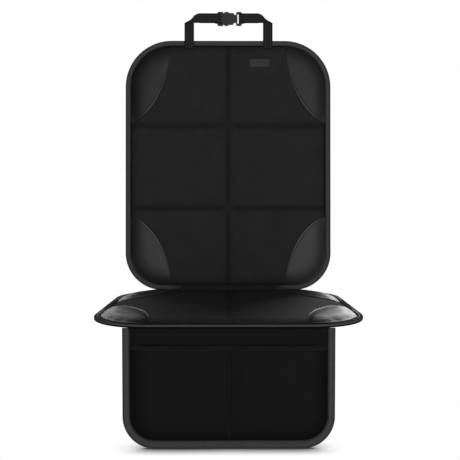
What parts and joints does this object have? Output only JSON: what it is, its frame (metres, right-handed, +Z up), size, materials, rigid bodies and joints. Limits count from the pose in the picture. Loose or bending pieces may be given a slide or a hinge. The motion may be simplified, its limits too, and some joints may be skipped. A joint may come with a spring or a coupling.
{
  "type": "car seat cover",
  "caption": "Quilted cover that protects a car seat under a child seat: upright back panel, seat panel, front flap with pockets, and buckled headrest straps.",
  "frame": {"origin": "middle of the seat panel's flat underside, at the mount seat_underside", "axes": "+Z up along the back panel, -Y towards the front flap, +X to the right as seen from the front"},
  "size_m": [0.48, 0.4798, 0.8574],
  "materials": {
    "grip_lining": "matt grip mesh",
    "foam": "open foam",
    "woven_cloth": "matt woven",
    "pocket_cloth": "matt woven",
    "smooth_leatherette": "smooth satin",
    "binding_tape": "ribbed tape",
    "strap_webbing": "ribbed webbing",
    "buckle_plastic": "satin moulded",
    "tag_fabric": "matt, bare"
  },
  "bodies": {
    "root": {"back_lining": "grip_lining", "back_foam": "foam", "back_face": "woven_cloth", "back_corner_top_left": "smooth_leatherette", "back_corner_top_right": "smooth_leatherette", "back_corner_bottom_left": "smooth_leatherette", "back_corner_bottom_right": "smooth_leatherette", "back_binding": "binding_tape", "seat_lining": "grip_lining", "seat_foam": "foam", "seat_face": "woven_cloth", "seat_corner_rear_left": "smooth_leatherette", "seat_corner_rear_right": "smooth_leatherette", "seat_corner_front_left": "smooth_leatherette", "seat_corner_front_right": "smooth_leatherette", "seat_binding": "binding_tape", "fold_web": "woven_cloth", "flap_lining": "grip_lining", "flap_panel": "woven_cloth", "flap_pocket": "pocket_cloth", "pocket_hem": "pocket_cloth", "flap_binding": "binding_tape", "strap_left": "strap_webbing", "strap_right": "strap_webbing", "buckle_plug": "buckle_plastic", "buckle_socket": "buckle_plastic", "sewn_tag": "tag_fabric"}
  },
  "joints": []
}
